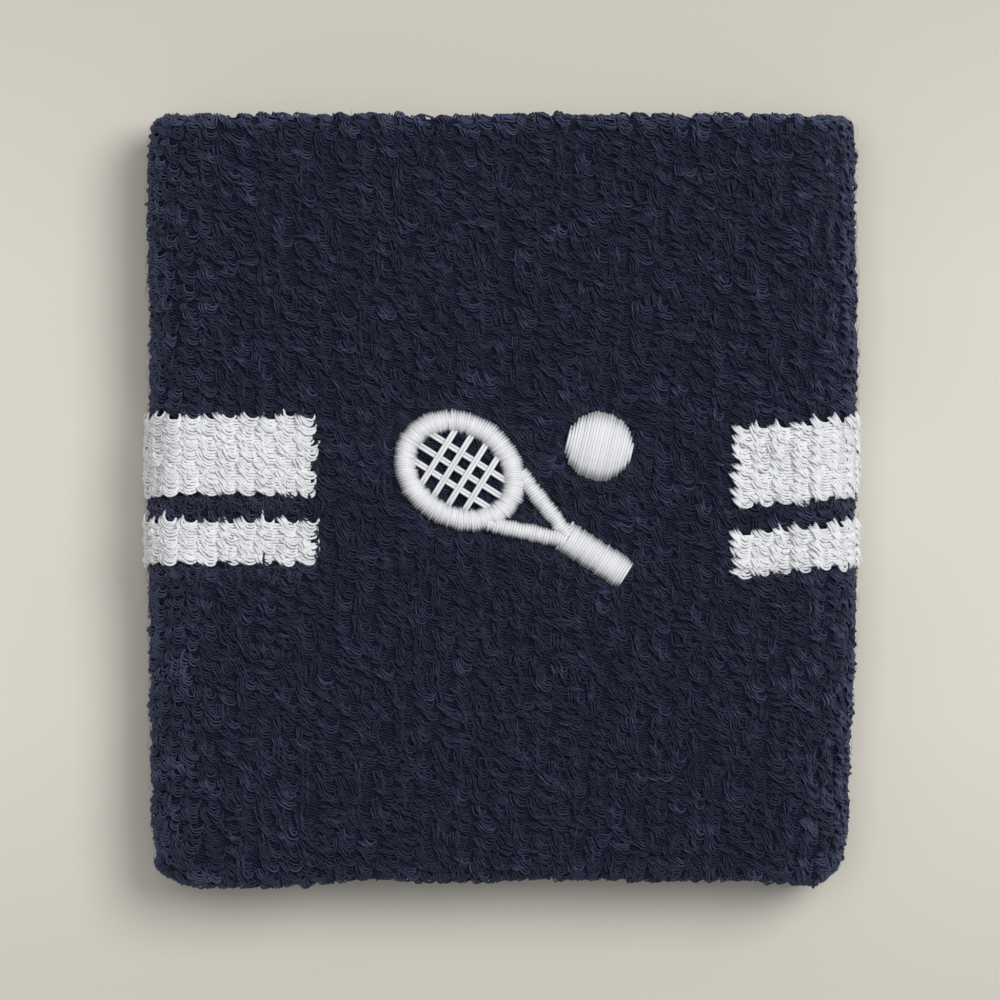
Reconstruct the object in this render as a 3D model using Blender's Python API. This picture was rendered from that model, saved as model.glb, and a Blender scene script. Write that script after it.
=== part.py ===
"""Terry sweat wristband, lying flat on its back with the emblem up.

A knitted tube, folded into an outer and an inner sleeve. +X runs across the flattened band, +Y along the
tube, +Z up. The origin is on the ground under the middle of the band. Lengths are in metres.

Each layer of the wall is a ring at its own radius round a flat centre line. The centre line is as wide as
the straight part of the band, so the section is a slot with round ends: two flat runs and two half turns.
"""

import math

import bmesh
import bpy

MM = 0.001

# The whole band
HALF_WIDTH = 36.4 * MM
HALF_LENGTH = 39.4 * MM
OUTER_RADIUS = 7.1 * MM  # outer face of the pile, so half the band's thickness
CROWN = 0.5 * MM  # how far the front bulges in its middle
DRAW_IN = 1.0 * MM  # how much each side narrows towards the lower hem
LOWER_SHIFT = 0.4 * MM  # how far the lower hem sits to the left

# The wall, from the outside in
OUTER_TERRY = 1.6 * MM
INNER_TERRY = 1.4 * MM
WALL = 4.7 * MM
GAP = 0.3 * MM  # between pieces that touch
THIN_GAP = 0.2 * MM  # between the thin layers of the embroidery
HEM_RETURN = 1.2 * MM  # how far the rolled hem runs on inside the tube

# The stripes: places along the tube, and where they stop on the front
STRIPE_DEPTH = 0.8 * MM
WIDE_STRIPE = (0.35 * MM, 8.75 * MM)
NARROW_STRIPE = (-6.75 * MM, -2.25 * MM)
WIDE_ENDS = (23.3 * MM, -19.4 * MM)
NARROW_ENDS = (23.7 * MM, -18.6 * MM)
STRIPE_SAG = 1.0 * MM  # the stripes dip where they end on the right of the front
SAG_MIDDLE = 23.0 * MM
SAG_REACH = 9.0 * MM

# The elastic yarns and the closing seam
YARN_RADIUS = 0.2 * MM
YARN_LAYER = 4.3 * MM
YARN_PITCH = 6.2 * MM
YARN_START = -31.0 * MM
YARN_TURNS = 10
SEAM_LAYER = 4.6 * MM
SEAM_MIDDLE = -34.1 * MM
SEAM_HALF = (0.45 * MM, 1.3 * MM)
SEAM_SIDES = 8

# The emblem: a racket and a ball, in satin stitch
EMBLEM_MIDDLE = (1.35 * MM, 0.0)
RACKET_TILT = math.radians(-32.3)
HEAD_MIDDLE = (-5.67 * MM, 2.88 * MM)
HOOP = (6.9 * MM, 5.7 * MM)
HOOP_STROKE = 2.1 * MM
STRING_WIDTH = 0.55 * MM
LONG_STRINGS = (-1.6 * MM, 0.0, 1.6 * MM)
CROSS_STRINGS = (-2.55 * MM, -0.85 * MM, 0.85 * MM, 2.55 * MM)
STRING_STEP = 0.1 * MM  # how far the cross strings stand above the long ones
THROAT_OUTER = (5.90 * MM, 3.42 * MM)  # along and across, where an arm's outer edge leaves the hoop
THROAT_INNER = (6.87 * MM, 1.88 * MM)  # the same for its inner edge
THROAT_CROTCH = 10.3 * MM
THROAT_FOOT = (12.2 * MM, 1.0 * MM)  # where it meets the grip, and its half width there
GRIP = (12.5 * MM, 20.0 * MM, 1.5 * MM)  # its top, its butt and its half width
GRIP_CORNER = 0.6 * MM
BALL_MIDDLE = (8.4 * MM, 5.3 * MM)
BALL_RADIUS = 3.4 * MM
STITCH_LAYER = (6.5 * MM, 7.5 * MM)  # satin stitch: its foot sunk in the pile, its top just proud
RECESS_FLOOR = 6.3 * MM  # where the pile is pressed down under the stitches
THROAT_BED = (5.52 * MM, 3.76 * MM)  # the upper corner of the throat's bed
THROAT_BED_LIFT = 0.05 * MM  # its bed is a shade shallower than the hoop's and the grip's
BACKING_LAYER = (5.1 * MM, 5.3 * MM)
BACKING_HALF = (14.0 * MM, 10.8 * MM)
BACKING_CORNER = 3.0 * MM
BOBBIN_LAYER = (4.7 * MM, 4.9 * MM)
BOBBIN_INSET = 0.5 * MM  # how much narrower than the satin its lower thread is, on each side
BOBBIN_STEP = 0.02 * MM  # how much thinner each next run of the lower thread is
JUMP_START = (3.45 * MM, 4.28 * MM)  # where the jump thread leaves the hoop

# How finely the round shapes are drawn. Round the tube: each half of the front, each side, the back
CLOTH_STEPS = (4, 10, 3)
YARN_STEPS = (1, 6, 1)
HEM_STEPS = 8
FOLD_STEPS = 3
WALL_ROWS = 6
OUTLINE_STEPS = 28
CORNER_STEPS = 4
SHARP_ANGLE = math.radians(35)

HALF_FLAT = HALF_WIDTH - OUTER_RADIUS
INNER_RADIUS = OUTER_RADIUS - WALL
FRONT = math.radians(90)
BACK = math.radians(-90)
LEFT_FRONT = math.radians(-270)

# Linear colour, roughness
NAVY_PILE = ("navy_terry", (0.016, 0.018, 0.034), 0.95)
WHITE_PILE = ("white_terry", (0.72, 0.73, 0.76), 0.95)
SATIN_THREAD = ("satin_thread", (0.80, 0.81, 0.84), 0.45)
SEAM_THREAD = ("seam_thread", (0.020, 0.022, 0.040), 0.85)
COVERED_RUBBER = ("covered_rubber", (0.05, 0.05, 0.07), 0.75)
NONWOVEN = ("nonwoven_backing", (0.78, 0.78, 0.76), 0.90)


def clear_scene():
    for obj in list(bpy.data.objects):
        bpy.data.objects.remove(obj, do_unlink=True)


def material(name, colour, roughness):
    found = bpy.data.materials.get(name)
    if found:
        return found
    made = bpy.data.materials.new(name)
    made.use_nodes = True
    shader = made.node_tree.nodes["Principled BSDF"]
    shader.inputs["Base Color"].default_value = (*colour, 1.0)
    shader.inputs["Roughness"].default_value = roughness
    shader.inputs["Metallic"].default_value = 0.0
    return made


def finish_piece(name, mesh, look):
    """Turns a bmesh into a named, smooth-shaded object with its faces pointing out."""
    bmesh.ops.recalc_face_normals(mesh, faces=mesh.faces)
    data = bpy.data.meshes.new(name)
    mesh.to_mesh(data)
    mesh.free()
    data.shade_smooth()
    data.set_sharp_from_angle(angle=SHARP_ANGLE)
    data.materials.append(material(*look))
    piece = bpy.data.objects.new(name, data)
    bpy.context.scene.collection.objects.link(piece)
    return piece


def make_helper(piece):
    piece.hide_render = True
    piece.display_type = "WIRE"
    return piece


def combine(piece, other, operation):
    """Cuts a helper out of a piece, or joins it on."""
    modifier = piece.modifiers.new(other.name, "BOOLEAN")
    modifier.operation = operation
    modifier.object = make_helper(other)


# The band's shape


def drawn_in(y):
    """How far the narrowing towards the lower hem has come: 0 above the middle, 1 at the hem."""
    return max(0.0, -y / HALF_LENGTH) ** 2


def place(station, radius, y):
    """The point at this radius on a station, which is (centre line x, direction outwards)."""
    middle, angle = station
    width_share = 1.0 - DRAW_IN * drawn_in(y) / HALF_WIDTH
    x = (middle + radius * math.cos(angle)) * width_share - LOWER_SHIFT * drawn_in(y)
    bulge = CROWN * max(0.0, math.sin(angle)) * (1.0 - (x / HALF_WIDTH) ** 2)
    return (x, y, OUTER_RADIUS + radius * math.sin(angle) + bulge)


def between(start, end, steps):
    """Evenly spaced values from start up to, but not including, end."""
    return [start + (end - start) * i / steps for i in range(steps)]


def round_the_back(right_x, left_x, steps=CLOTH_STEPS):
    """Stations from right_x on the front, round the back, to left_x on the front."""
    front_steps, side_steps, back_steps = steps
    stations = [(x, FRONT) for x in between(right_x, HALF_FLAT, front_steps)]
    stations += [(HALF_FLAT, angle) for angle in between(FRONT, BACK, side_steps)]
    stations += [(x, BACK) for x in between(HALF_FLAT, -HALF_FLAT, back_steps)]
    stations += [(-HALF_FLAT, angle) for angle in between(BACK, LEFT_FRONT, side_steps)]
    stations += [(x, LEFT_FRONT) for x in between(-HALF_FLAT, left_x, front_steps)]
    return stations + [(left_x, LEFT_FRONT)]


def whole_round(steps=CLOTH_STEPS):
    return round_the_back(0.0, 0.0, steps)[:-1]


def sweep(name, stations, outline, look, closed=True, slide=None):
    """Carries an outline of (radius, y) points round the stations, as a ring or with capped ends."""
    mesh = bmesh.new()
    rows = []
    for station in stations:
        shift = slide(station) if slide else 0.0
        rows.append([mesh.verts.new(place(station, radius, y + shift)) for radius, y in outline])
    count = len(outline)
    for i in range(len(rows) if closed else len(rows) - 1):
        row, after = rows[i], rows[(i + 1) % len(rows)]
        for j in range(count):
            k = (j + 1) % count
            mesh.faces.new((row[j], row[k], after[k], after[j]))
    if not closed:
        mesh.faces.new(rows[0])
        mesh.faces.new(rows[-1])
    return finish_piece(name, mesh, look)


# The two sleeves


def hem_arc(radius, side, steps):
    """Half a turn over a hem, from the outer face to the inner one. side is 1 at the top, -1 below."""
    middle_radius = OUTER_RADIUS - WALL / 2
    middle_y = side * (HALF_LENGTH - WALL / 2)
    turns = [math.pi * i / steps for i in range(steps + 1)]
    return [
        (middle_radius + radius * math.cos(turn), middle_y + side * radius * math.sin(turn))
        for turn in turns
    ]


def outer_outline():
    """Up the outer face, over the top hem, back down the lining side of the cloth, and under again."""
    hem = WALL / 2
    fold = hem - OUTER_TERRY
    straight = HALF_LENGTH - hem
    rows = between(-straight, straight, WALL_ROWS)[1:]
    top_tail = straight - HEM_RETURN
    points = [(OUTER_RADIUS, y) for y in rows]
    points += hem_arc(hem, 1, HEM_STEPS)
    points += [(INNER_RADIUS, top_tail), (INNER_RADIUS + OUTER_TERRY, top_tail)]
    points += hem_arc(fold, 1, FOLD_STEPS)[::-1]
    points += [(OUTER_RADIUS - OUTER_TERRY, y) for y in reversed(rows)]
    points += hem_arc(fold, -1, FOLD_STEPS)
    points += [(INNER_RADIUS + OUTER_TERRY, -top_tail), (INNER_RADIUS, -top_tail)]
    points += hem_arc(hem, -1, HEM_STEPS)[::-1]
    return points


def make_outer_sleeve():
    return sweep("outer_sleeve", whole_round(), outer_outline(), NAVY_PILE)


def make_inner_sleeve():
    end = HALF_LENGTH - WALL / 2 - HEM_RETURN - GAP
    rows = between(-end, end, WALL_ROWS) + [end]
    outline = [(INNER_RADIUS + INNER_TERRY, y) for y in rows]
    outline += [(INNER_RADIUS, y) for y in reversed(rows)]
    return sweep("inner_sleeve", whole_round(), outline, NAVY_PILE)


# The stripes


def stripe_dip(station):
    middle, angle = station
    x = middle + OUTER_RADIUS * math.cos(angle)
    nearness = math.exp(-(((x - SAG_MIDDLE) / SAG_REACH) ** 2))
    return -STRIPE_SAG * nearness * max(0.0, math.sin(angle))


def band(name, stations, spread, layer):
    low, high = layer
    outline = [(low, spread[0]), (high, spread[0]), (high, spread[1]), (low, spread[1])]
    return sweep(name, stations, outline, WHITE_PILE, closed=False, slide=stripe_dip)


def make_stripe(name, spread, ends, sleeve):
    """A band of white pile, bedded in a groove of the outer sleeve."""
    right_x, left_x = ends
    bed = OUTER_RADIUS - STRIPE_DEPTH
    stripe = band(name, round_the_back(right_x, left_x), spread, (bed, OUTER_RADIUS))
    groove = band(
        name + "_groove",
        round_the_back(right_x - GAP, left_x + GAP),
        (spread[0] - GAP, spread[1] + GAP),
        (bed - THIN_GAP, OUTER_RADIUS + WALL),
    )
    combine(sleeve, groove, "DIFFERENCE")
    return stripe


# The elastic yarns and the seam, between the sleeves


def winding(start_y):
    """Points along a yarn that winds round the tube, climbing at a steady rate."""
    stations = whole_round(YARN_STEPS)
    spots = [place(station, YARN_LAYER, 0.0) for station in stations]
    sides = [math.dist(a, b) for a, b in zip(spots, spots[1:] + spots[:1])]
    girth = sum(sides)
    points = []
    for turn in range(YARN_TURNS):
        travelled = 0.0
        for station, side in zip(stations, sides):
            y = start_y + YARN_PITCH * (turn + travelled / girth)
            points.append(place(station, YARN_LAYER, y))
            travelled += side
    return points


def make_yarn(name, start_y):
    curve = bpy.data.curves.new(name, "CURVE")
    curve.dimensions = "3D"
    curve.bevel_depth = YARN_RADIUS
    curve.bevel_resolution = 1
    curve.use_fill_caps = True
    points = winding(start_y)
    spline = curve.splines.new("POLY")
    spline.points.add(len(points) - 1)
    for spot, point in zip(spline.points, points):
        spot.co = (*point, 1.0)
    curve.materials.append(material(*COVERED_RUBBER))
    yarn = bpy.data.objects.new(name, curve)
    bpy.context.scene.collection.objects.link(yarn)
    return yarn


def make_closing_seam():
    """The overlocked ends of the tube: a flat oval bead, all the way round."""
    thick, wide = SEAM_HALF
    turns = between(0.0, math.tau, SEAM_SIDES)
    outline = [
        (SEAM_LAYER + thick * math.cos(turn), SEAM_MIDDLE + wide * math.sin(turn)) for turn in turns
    ]
    return sweep("closing_seam", whole_round(), outline, SEAM_THREAD)


# The emblem


def emblem_spot(x, y):
    return (EMBLEM_MIDDLE[0] + x, EMBLEM_MIDDLE[1] + y)


def racket_spot(along, across):
    """A place on the racket: along its axis from the middle of its head, and across."""
    x = HEAD_MIDDLE[0] + along * math.cos(RACKET_TILT) - across * math.sin(RACKET_TILT)
    y = HEAD_MIDDLE[1] + along * math.sin(RACKET_TILT) + across * math.cos(RACKET_TILT)
    return emblem_spot(x, y)


def head_ellipse(inset):
    turns = between(0.0, math.tau, OUTLINE_STEPS)
    return [
        racket_spot((HOOP[0] - inset) * math.cos(turn), (HOOP[1] - inset) * math.sin(turn))
        for turn in turns
    ]


def circle(middle, radius):
    turns = between(0.0, math.tau, OUTLINE_STEPS)
    return [
        emblem_spot(middle[0] + radius * math.cos(turn), middle[1] + radius * math.sin(turn))
        for turn in turns
    ]


def bar(start, end, half_width):
    """A straight bar on the racket, between two (along, across) places."""
    along, across = end[0] - start[0], end[1] - start[1]
    length = math.hypot(along, across)
    side = (-across / length * half_width, along / length * half_width)
    corners = (
        (start[0] + side[0], start[1] + side[1]),
        (start[0] - side[0], start[1] - side[1]),
        (end[0] - side[0], end[1] - side[1]),
        (end[0] + side[0], end[1] + side[1]),
    )
    return [racket_spot(*corner) for corner in corners]


def plate(name, outline, layer, look, hole=None):
    """A flat piece in the front wall, between two radii. hole has as many points as the outline."""
    mesh = bmesh.new()
    levels = []
    for radius in layer:
        rings = [outline] + ([hole] if hole else [])
        levels.append([[mesh.verts.new(place((x, FRONT), radius, y)) for x, y in ring] for ring in rings])
    for under, over in zip(*levels):
        for j in range(len(under)):
            k = (j + 1) % len(under)
            mesh.faces.new((under[j], under[k], over[k], over[j]))
    for rings in levels:
        if not hole:
            mesh.faces.new(rings[0])
            continue
        outside, inside = rings
        for j in range(len(outside)):
            k = (j + 1) % len(outside)
            mesh.faces.new((outside[j], outside[k], inside[k], inside[j]))
    return finish_piece(name, mesh, look)


def throat_outline():
    """A V from the lower sides of the hoop to the top of the grip."""
    foot, foot_half = THROAT_FOOT
    corners = (
        THROAT_OUTER,
        (foot, foot_half),
        (foot, -foot_half),
        (THROAT_OUTER[0], -THROAT_OUTER[1]),
        (THROAT_INNER[0], -THROAT_INNER[1]),
        (THROAT_CROTCH, 0.0),
        THROAT_INNER,
    )
    return [racket_spot(*corner) for corner in corners]


def grip_outline(grow=0.0):
    top, butt, half = GRIP
    top, butt, half = top - grow, butt + grow, half + grow
    corner = GRIP_CORNER
    places = (
        (top, half),
        (top, -half),
        (butt - corner, -half),
        (butt, corner - half),
        (butt, half - corner),
        (butt - corner, half),
    )
    return [racket_spot(*spot) for spot in places]


def string_bars():
    """(start, end) of each string: three along the racket and four across it, inside the hoop."""
    reach = [side - HOOP_STROKE - GAP for side in HOOP]
    bars = []
    for across in LONG_STRINGS:
        half = reach[0] * math.sqrt(1.0 - (across / reach[1]) ** 2)
        bars.append(((-half, across), (half, across)))
    for along in CROSS_STRINGS:
        half = reach[1] * math.sqrt(1.0 - (along / reach[0]) ** 2)
        bars.append(((along, -half), (along, half)))
    return bars


def make_strings():
    """The cross strings are stitched last, so they stand a little above the long ones."""
    low, high = STITCH_LAYER
    pieces = []
    for i, (start, end) in enumerate(string_bars()):
        lift = 0.0 if i < len(LONG_STRINGS) else STRING_STEP
        name = "emblem_strings" if i == 0 else f"string_{i}"
        layer = (low + lift, high - 3 * STRING_STEP + lift)
        inset = STRING_STEP * (i % len(LONG_STRINGS))
        ends = ((start[0] + inset, start[1]), (end[0] - inset, end[1])) if not lift else (start, end)
        pieces.append(plate(name, bar(*ends, STRING_WIDTH / 2), layer, SATIN_THREAD))
    # The middle cross string joins the long ones into one body, then the others join on.
    strings = pieces[0]
    for helper in pieces[len(LONG_STRINGS) :] + pieces[1 : len(LONG_STRINGS)]:
        combine(strings, helper, "UNION")
    return strings


def press_down(sleeve):
    """Beds the stitched fields in the pile: the head, the throat with the grip, and the ball."""
    high = OUTER_RADIUS + WALL
    foot, foot_half = THROAT_FOOT
    along, across = THROAT_BED
    corners = ((along, across), (foot, foot_half + GAP), (foot, -foot_half - GAP), (along, -across))
    throat = [racket_spot(*corner) for corner in corners]
    beds = (
        ("head_bed", head_ellipse(-GAP), 0.0),
        ("throat_bed", throat, THROAT_BED_LIFT),
        ("grip_bed", grip_outline(GAP), 0.0),
        ("ball_bed", circle(BALL_MIDDLE, BALL_RADIUS + GAP), 0.0),
    )
    for name, outline, lift in beds:
        combine(sleeve, plate(name, outline, (RECESS_FLOOR + lift, high), NAVY_PILE), "DIFFERENCE")


def make_emblem(sleeve):
    plate("emblem_hoop", head_ellipse(0.0), STITCH_LAYER, SATIN_THREAD, hole=head_ellipse(HOOP_STROKE))
    plate("emblem_throat", throat_outline(), STITCH_LAYER, SATIN_THREAD)
    plate("emblem_grip", grip_outline(), STITCH_LAYER, SATIN_THREAD)
    plate("emblem_ball", circle(BALL_MIDDLE, BALL_RADIUS), STITCH_LAYER, SATIN_THREAD)
    make_strings()
    press_down(sleeve)


def make_backing():
    """A rounded patch of non-woven cloth behind the stitches."""
    half_x, half_y = BACKING_HALF
    corner = BACKING_CORNER
    outline = []
    for quarter, (side_x, side_y) in enumerate(((1, 1), (-1, 1), (-1, -1), (1, -1))):
        for turn in between(quarter * FRONT, (quarter + 1) * FRONT, CORNER_STEPS):
            x = side_x * (half_x - corner) + corner * math.cos(turn)
            y = side_y * (half_y - corner) + corner * math.sin(turn)
            outline.append(emblem_spot(x, y))
    return plate("emblem_backing", outline, BACKING_LAYER, NONWOVEN)


def make_bobbin_thread():
    """The lower thread: a narrower copy of each field, joined by the jump thread to the ball."""
    low, high = BOBBIN_LAYER
    inset = BOBBIN_INSET
    thread = plate(
        "emblem_bobbin_thread",
        head_ellipse(inset),
        BOBBIN_LAYER,
        SATIN_THREAD,
        hole=head_ellipse(HOOP_STROKE - inset),
    )
    spine = bar((HOOP[0] - HOOP_STROKE / 2, 0.0), (GRIP[1] - inset, 0.0), inset)
    ball_along = (BALL_MIDDLE[0] - HEAD_MIDDLE[0]) * math.cos(RACKET_TILT)
    ball_along += (BALL_MIDDLE[1] - HEAD_MIDDLE[1]) * math.sin(RACKET_TILT)
    ball_across = (BALL_MIDDLE[1] - HEAD_MIDDLE[1]) * math.cos(RACKET_TILT)
    ball_across -= (BALL_MIDDLE[0] - HEAD_MIDDLE[0]) * math.sin(RACKET_TILT)
    jump = bar(JUMP_START, (ball_along, ball_across), inset / 2)
    ball = circle(BALL_MIDDLE, BALL_RADIUS - inset)
    for name, outline, steps in (("spine", spine, 1), ("jump", jump, 3), ("ball_reverse", ball, 1)):
        layer = (low + steps * BOBBIN_STEP, high - steps * BOBBIN_STEP)
        combine(thread, plate(name, outline, layer, SATIN_THREAD), "UNION")
    return thread


def main():
    clear_scene()
    sleeve = make_outer_sleeve()
    make_inner_sleeve()
    make_stripe("wide_stripe", WIDE_STRIPE, WIDE_ENDS, sleeve)
    make_stripe("narrow_stripe", NARROW_STRIPE, NARROW_ENDS, sleeve)
    make_emblem(sleeve)
    make_backing()
    make_bobbin_thread()
    make_yarn("outer_elastic_yarn", YARN_START)
    make_yarn("inner_elastic_yarn", YARN_START + YARN_PITCH / 2)
    make_closing_seam()


main()
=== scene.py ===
"""Looks of the terry sweat wristband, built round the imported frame.

Lengths are in millimetres here, and become metres where a mesh is made. A place on the cloth is
(u, v, height): u runs round the band from the middle of its front, v along its wall and over the hems,
and height stands out from the knitted ground.
"""

import math

import bpy
import numpy as np
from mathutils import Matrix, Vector


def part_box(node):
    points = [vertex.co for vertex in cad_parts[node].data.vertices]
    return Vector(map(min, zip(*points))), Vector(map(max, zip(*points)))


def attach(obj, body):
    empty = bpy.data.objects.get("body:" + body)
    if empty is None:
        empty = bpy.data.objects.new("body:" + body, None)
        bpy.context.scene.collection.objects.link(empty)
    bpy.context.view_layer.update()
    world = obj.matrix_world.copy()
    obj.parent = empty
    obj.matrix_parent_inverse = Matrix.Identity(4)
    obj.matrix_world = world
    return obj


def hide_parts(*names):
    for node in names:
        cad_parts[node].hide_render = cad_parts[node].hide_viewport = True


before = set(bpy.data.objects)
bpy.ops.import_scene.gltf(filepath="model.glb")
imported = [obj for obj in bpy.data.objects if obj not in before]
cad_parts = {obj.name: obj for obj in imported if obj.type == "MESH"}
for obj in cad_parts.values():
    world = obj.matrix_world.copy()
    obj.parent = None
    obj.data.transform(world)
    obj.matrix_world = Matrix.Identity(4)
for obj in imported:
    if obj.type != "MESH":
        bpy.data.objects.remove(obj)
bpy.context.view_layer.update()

MM = 0.001


def box(node):
    """Lowest and highest corner of a node, in millimetres."""
    low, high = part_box(node)
    return np.array(low) / MM, np.array(high) / MM


def middle_of(node):
    low, high = box(node)
    return (low + high) / 2


# The band, as the frame has it
SLEEVE_LOW, SLEEVE_HIGH = box("outer_sleeve")
LINING_LOW, LINING_HIGH = box("inner_sleeve")
CROWN = 0.5  # how far the front bulges in its middle
DRAW_IN = 1.0  # how much each side narrows towards the lower hem
LOWER_SHIFT = 0.4  # how far the lower hem sits to the left
HALF_WIDTH = SLEEVE_HIGH[0]
HALF_LENGTH = (SLEEVE_HIGH[1] - SLEEVE_LOW[1]) / 2
OUTER_RADIUS = (SLEEVE_HIGH[2] - CROWN) / 2
HALF_FLAT = HALF_WIDTH - OUTER_RADIUS
LINING_RADIUS = OUTER_RADIUS - LINING_LOW[2]
LINING_END = LINING_HIGH[1]
INNER_TERRY = 1.4
INNER_RADIUS = LINING_RADIUS - INNER_TERRY
WALL = OUTER_RADIUS - INNER_RADIUS
HEM_RADIUS = OUTER_RADIUS - WALL / 2
HEM_RETURN = 1.2  # how far the rolled hem runs on inside the tube

# The cloth: a thin knitted ground with pile on one face
PILE = 1.1
GROUND_THICK = 0.5
LINING_PILE = 1.0
STRAIGHT = HALF_LENGTH - WALL / 2
LIP_GROUND = WALL / 2 - PILE
LIP_MIDDLE = WALL / 2 - PILE / 2
WALL_END = STRAIGHT + math.pi * LIP_MIDDLE + HEM_RETURN
SIDE_TURN = math.pi * (OUTER_RADIUS - PILE / 2)
FOLD = HALF_FLAT + SIDE_TURN / 2  # the outermost line of a side
GIRTH = 4 * HALF_FLAT + 2 * SIDE_TURN
HEM_GROOVES = [(-36.6, 0.30, 0.7), (36.9, 0.16, 0.8)]  # along the wall: middle, depth, reach
SLOW_RISE = 0.13  # how far the cloth's slow ripples stand out
QUICK_RISE = 0.05

# The knit: hooked loops of three strands, in wales round the band and courses along it
WALES = 79
WALE_WIDTH = GIRTH / WALES
FIRST_WALE = 24.6
COURSE = 0.878
STRANDS = 3
STRAND_DROP = 0.04  # how much lower each next strand of a loop lies
HOOK_STEP = (0.05, 0.29)  # from one strand of a hooked loop to the next: aside, and up the wall
SLANT_STEP = (0.26, 0.06)  # the same for a slanting loop
STRAND = 0.086  # radius of one strand of a loop
WHITE_STRAND = 0.14
HOOK_SIZE = (0.52, 1.08, 0.74)  # half width, length, height
SLANT_SIZE = (0.32, 1.14, 0.88)
SLANT_PLACE = (-1.12, 0.02)  # from a hooked loop to the slanting one at its side
GROUND_RISE = 0.10  # how far the ground's face stands out between the loops
STRETCHED_RISE = 0.24  # how much further on the sides and hems
STRAND_LIMIT = 190000  # triangles a piece of pile may have

# How unevenly the loops lie, as standard deviations
COURSE_SPREAD = 0.22  # a whole course, round the band
LOOP_SPREAD = 0.15  # a loop, each way
SIDE_SPREAD = 0.09  # one side of a loop
STRAND_SPREAD = 0.035
FOOT_SPREAD = 0.04
SIZE_SPREAD = 0.14  # as a share of the size
SLANT_SPREAD = 0.12
TWIST_SPREAD = 0.06  # radians, a strand
TONE_SPREAD = (0.13, 0.06, 0.14)  # a loop, one side of it, a strand
HOOK_TURNING = 0.20  # radians
SLANT_TURNING = 0.24

# How the loops lean and drift
HOOK_SLANT = 0.30  # how far a hook leans aside from its foot
DRIFT_SHIFT = 0.2  # how far the slow drift moves a loop aside
DRIFT_YAW = (4.0, 16.0)  # degrees: everywhere, and with the drift
STRAY_SHARE = 0.01  # loops that stand higher than the rest
STRAY_LIFT = 1.3
WHITE_LOOSE = 0.6  # the white loops' unevenness, as a share of the navy ones'
NAVY_YARN = (STRAND, 1.0, 1.0)  # radius, how unevenly it lies, how wide its loops are
WHITE_YARN = (WHITE_STRAND, WHITE_LOOSE, 1.25)

# Where loops are pressed down or stand out
NAVY_FOOT = -0.08
SIDE_LIFT = 0.25
LOWER_RIGHT_LIFT = 0.16
PRESSED = 0.30  # beside the stitches, as a share of a loop's height
PRESS_REACH = 1.4
WINDOW_PRESS = 0.5  # between the racket's strings
WHITE_PRESS = 0.86
STRETCH_PRESS = 0.28
FAR = 9.0  # off the front, as if this far from the stitches

# The stripes
WIDE_TOP = box("wide_stripe")[1][1]
NARROW_TOP = box("narrow_stripe")[1][1]
STRIPE_ENDS = (24.0, -19.0)
WIDE_COURSES = 9
NAVY_COURSES = 3  # between the stripes
NARROW_COURSES = 5
STRIPE_BULGE = 0.75  # how far the white pile stands out further on the sides
STRIPE_SAG = 1.0
SAG_MIDDLE = 23.0
SAG_REACH = 9.0
RIGHT_DROP = 0.24  # how much lower the stripes run on the right of the front
FIRST_FOOT = -0.31  # the feet of a stripe's first course, from the stripe's top
FLOAT_RADIUS = 0.21
FLOAT_DROP = 0.48  # the first float, from those feet
FLOAT_RISE = (0.30, 0.07)  # how high the floats lie, and how they weave

# The emblem
HEAD = middle_of("emblem_hoop")[:2]
GRIP_MIDDLE = middle_of("emblem_grip")[:2]
BALL = middle_of("emblem_ball")[:2]
BALL_RADIUS = (box("emblem_ball")[1][0] - box("emblem_ball")[0][0]) / 2
TILT = math.atan2(*(GRIP_MIDDLE - HEAD)[::-1])
HOOP = (6.9, 5.7)
HOOP_STROKE = 2.1
THROAT_FOOT = 12.2  # along the racket, where the throat's arms end
GRIP = (12.5, 20.0, 1.5)  # its top, its butt and its half width
LONG_STRINGS = (-1.6, 0.0, 1.6)
CROSS_STRINGS = (-2.55, -0.85, 0.85, 2.55)
STITCH_PITCH = 0.29
THREAD = 0.165
SATIN_FOOT = 6.25  # radius where a stitch dips into the pile
SATIN_CREST = 7.55
THROAT_CREST = 7.38
BALL_CREST = (6.65, 1.08)  # at the ball's ends, and how much more in its middle
GRIP_SINK = (0.6, 0.42)  # how far the grip's ends sink, and over what length
END_CRESTS = (6.42, 6.76)  # the threads that close a field's ends
UNDERLAY_DROP = 0.17
STRING_FOOT = 6.7
STRING_CRESTS = (6.98, 7.24)  # long strings, and the cross strings over them

random = np.random.default_rng(7)


# Shape of the cloth


def waves(seed, count, longest, shortest):
    """A fixed set of slow ripples: how many waves round the band, waves a millimetre along it, phase."""
    draw = np.random.default_rng(seed)
    made = []
    for _ in range(count):
        around = round(GIRTH / draw.uniform(shortest, longest))
        made.append((around, draw.normal() / longest * 2.2, draw.uniform(0, math.tau)))
    return made


def ripple(u, v, chosen):
    """From about -1 to 1, smooth, and the same after a whole turn of u."""
    total = sum(np.sin(math.tau * (n * u / GIRTH + k * v) + phase) for n, k, phase in chosen)
    return total / math.sqrt(len(chosen) * 0.5) / 1.6


SLOW = waves(3, 9, 34.0, 11.0)
QUICK = waves(5, 12, 9.0, 3.5)
TONES = waves(8, 14, 16.0, 4.0)
DRIFT = waves(11, 12, 14.0, 5.0)


def smooth(x):
    """From 0 to 1 without a kink, as x does."""
    x = np.clip(x, 0.0, 1.0)
    return x * x * (3.0 - 2.0 * x)


def hump(x, middle, reach):
    """1 in the middle, and nothing a few reaches away."""
    return np.exp(-(((x - middle) / reach) ** 2))


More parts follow.
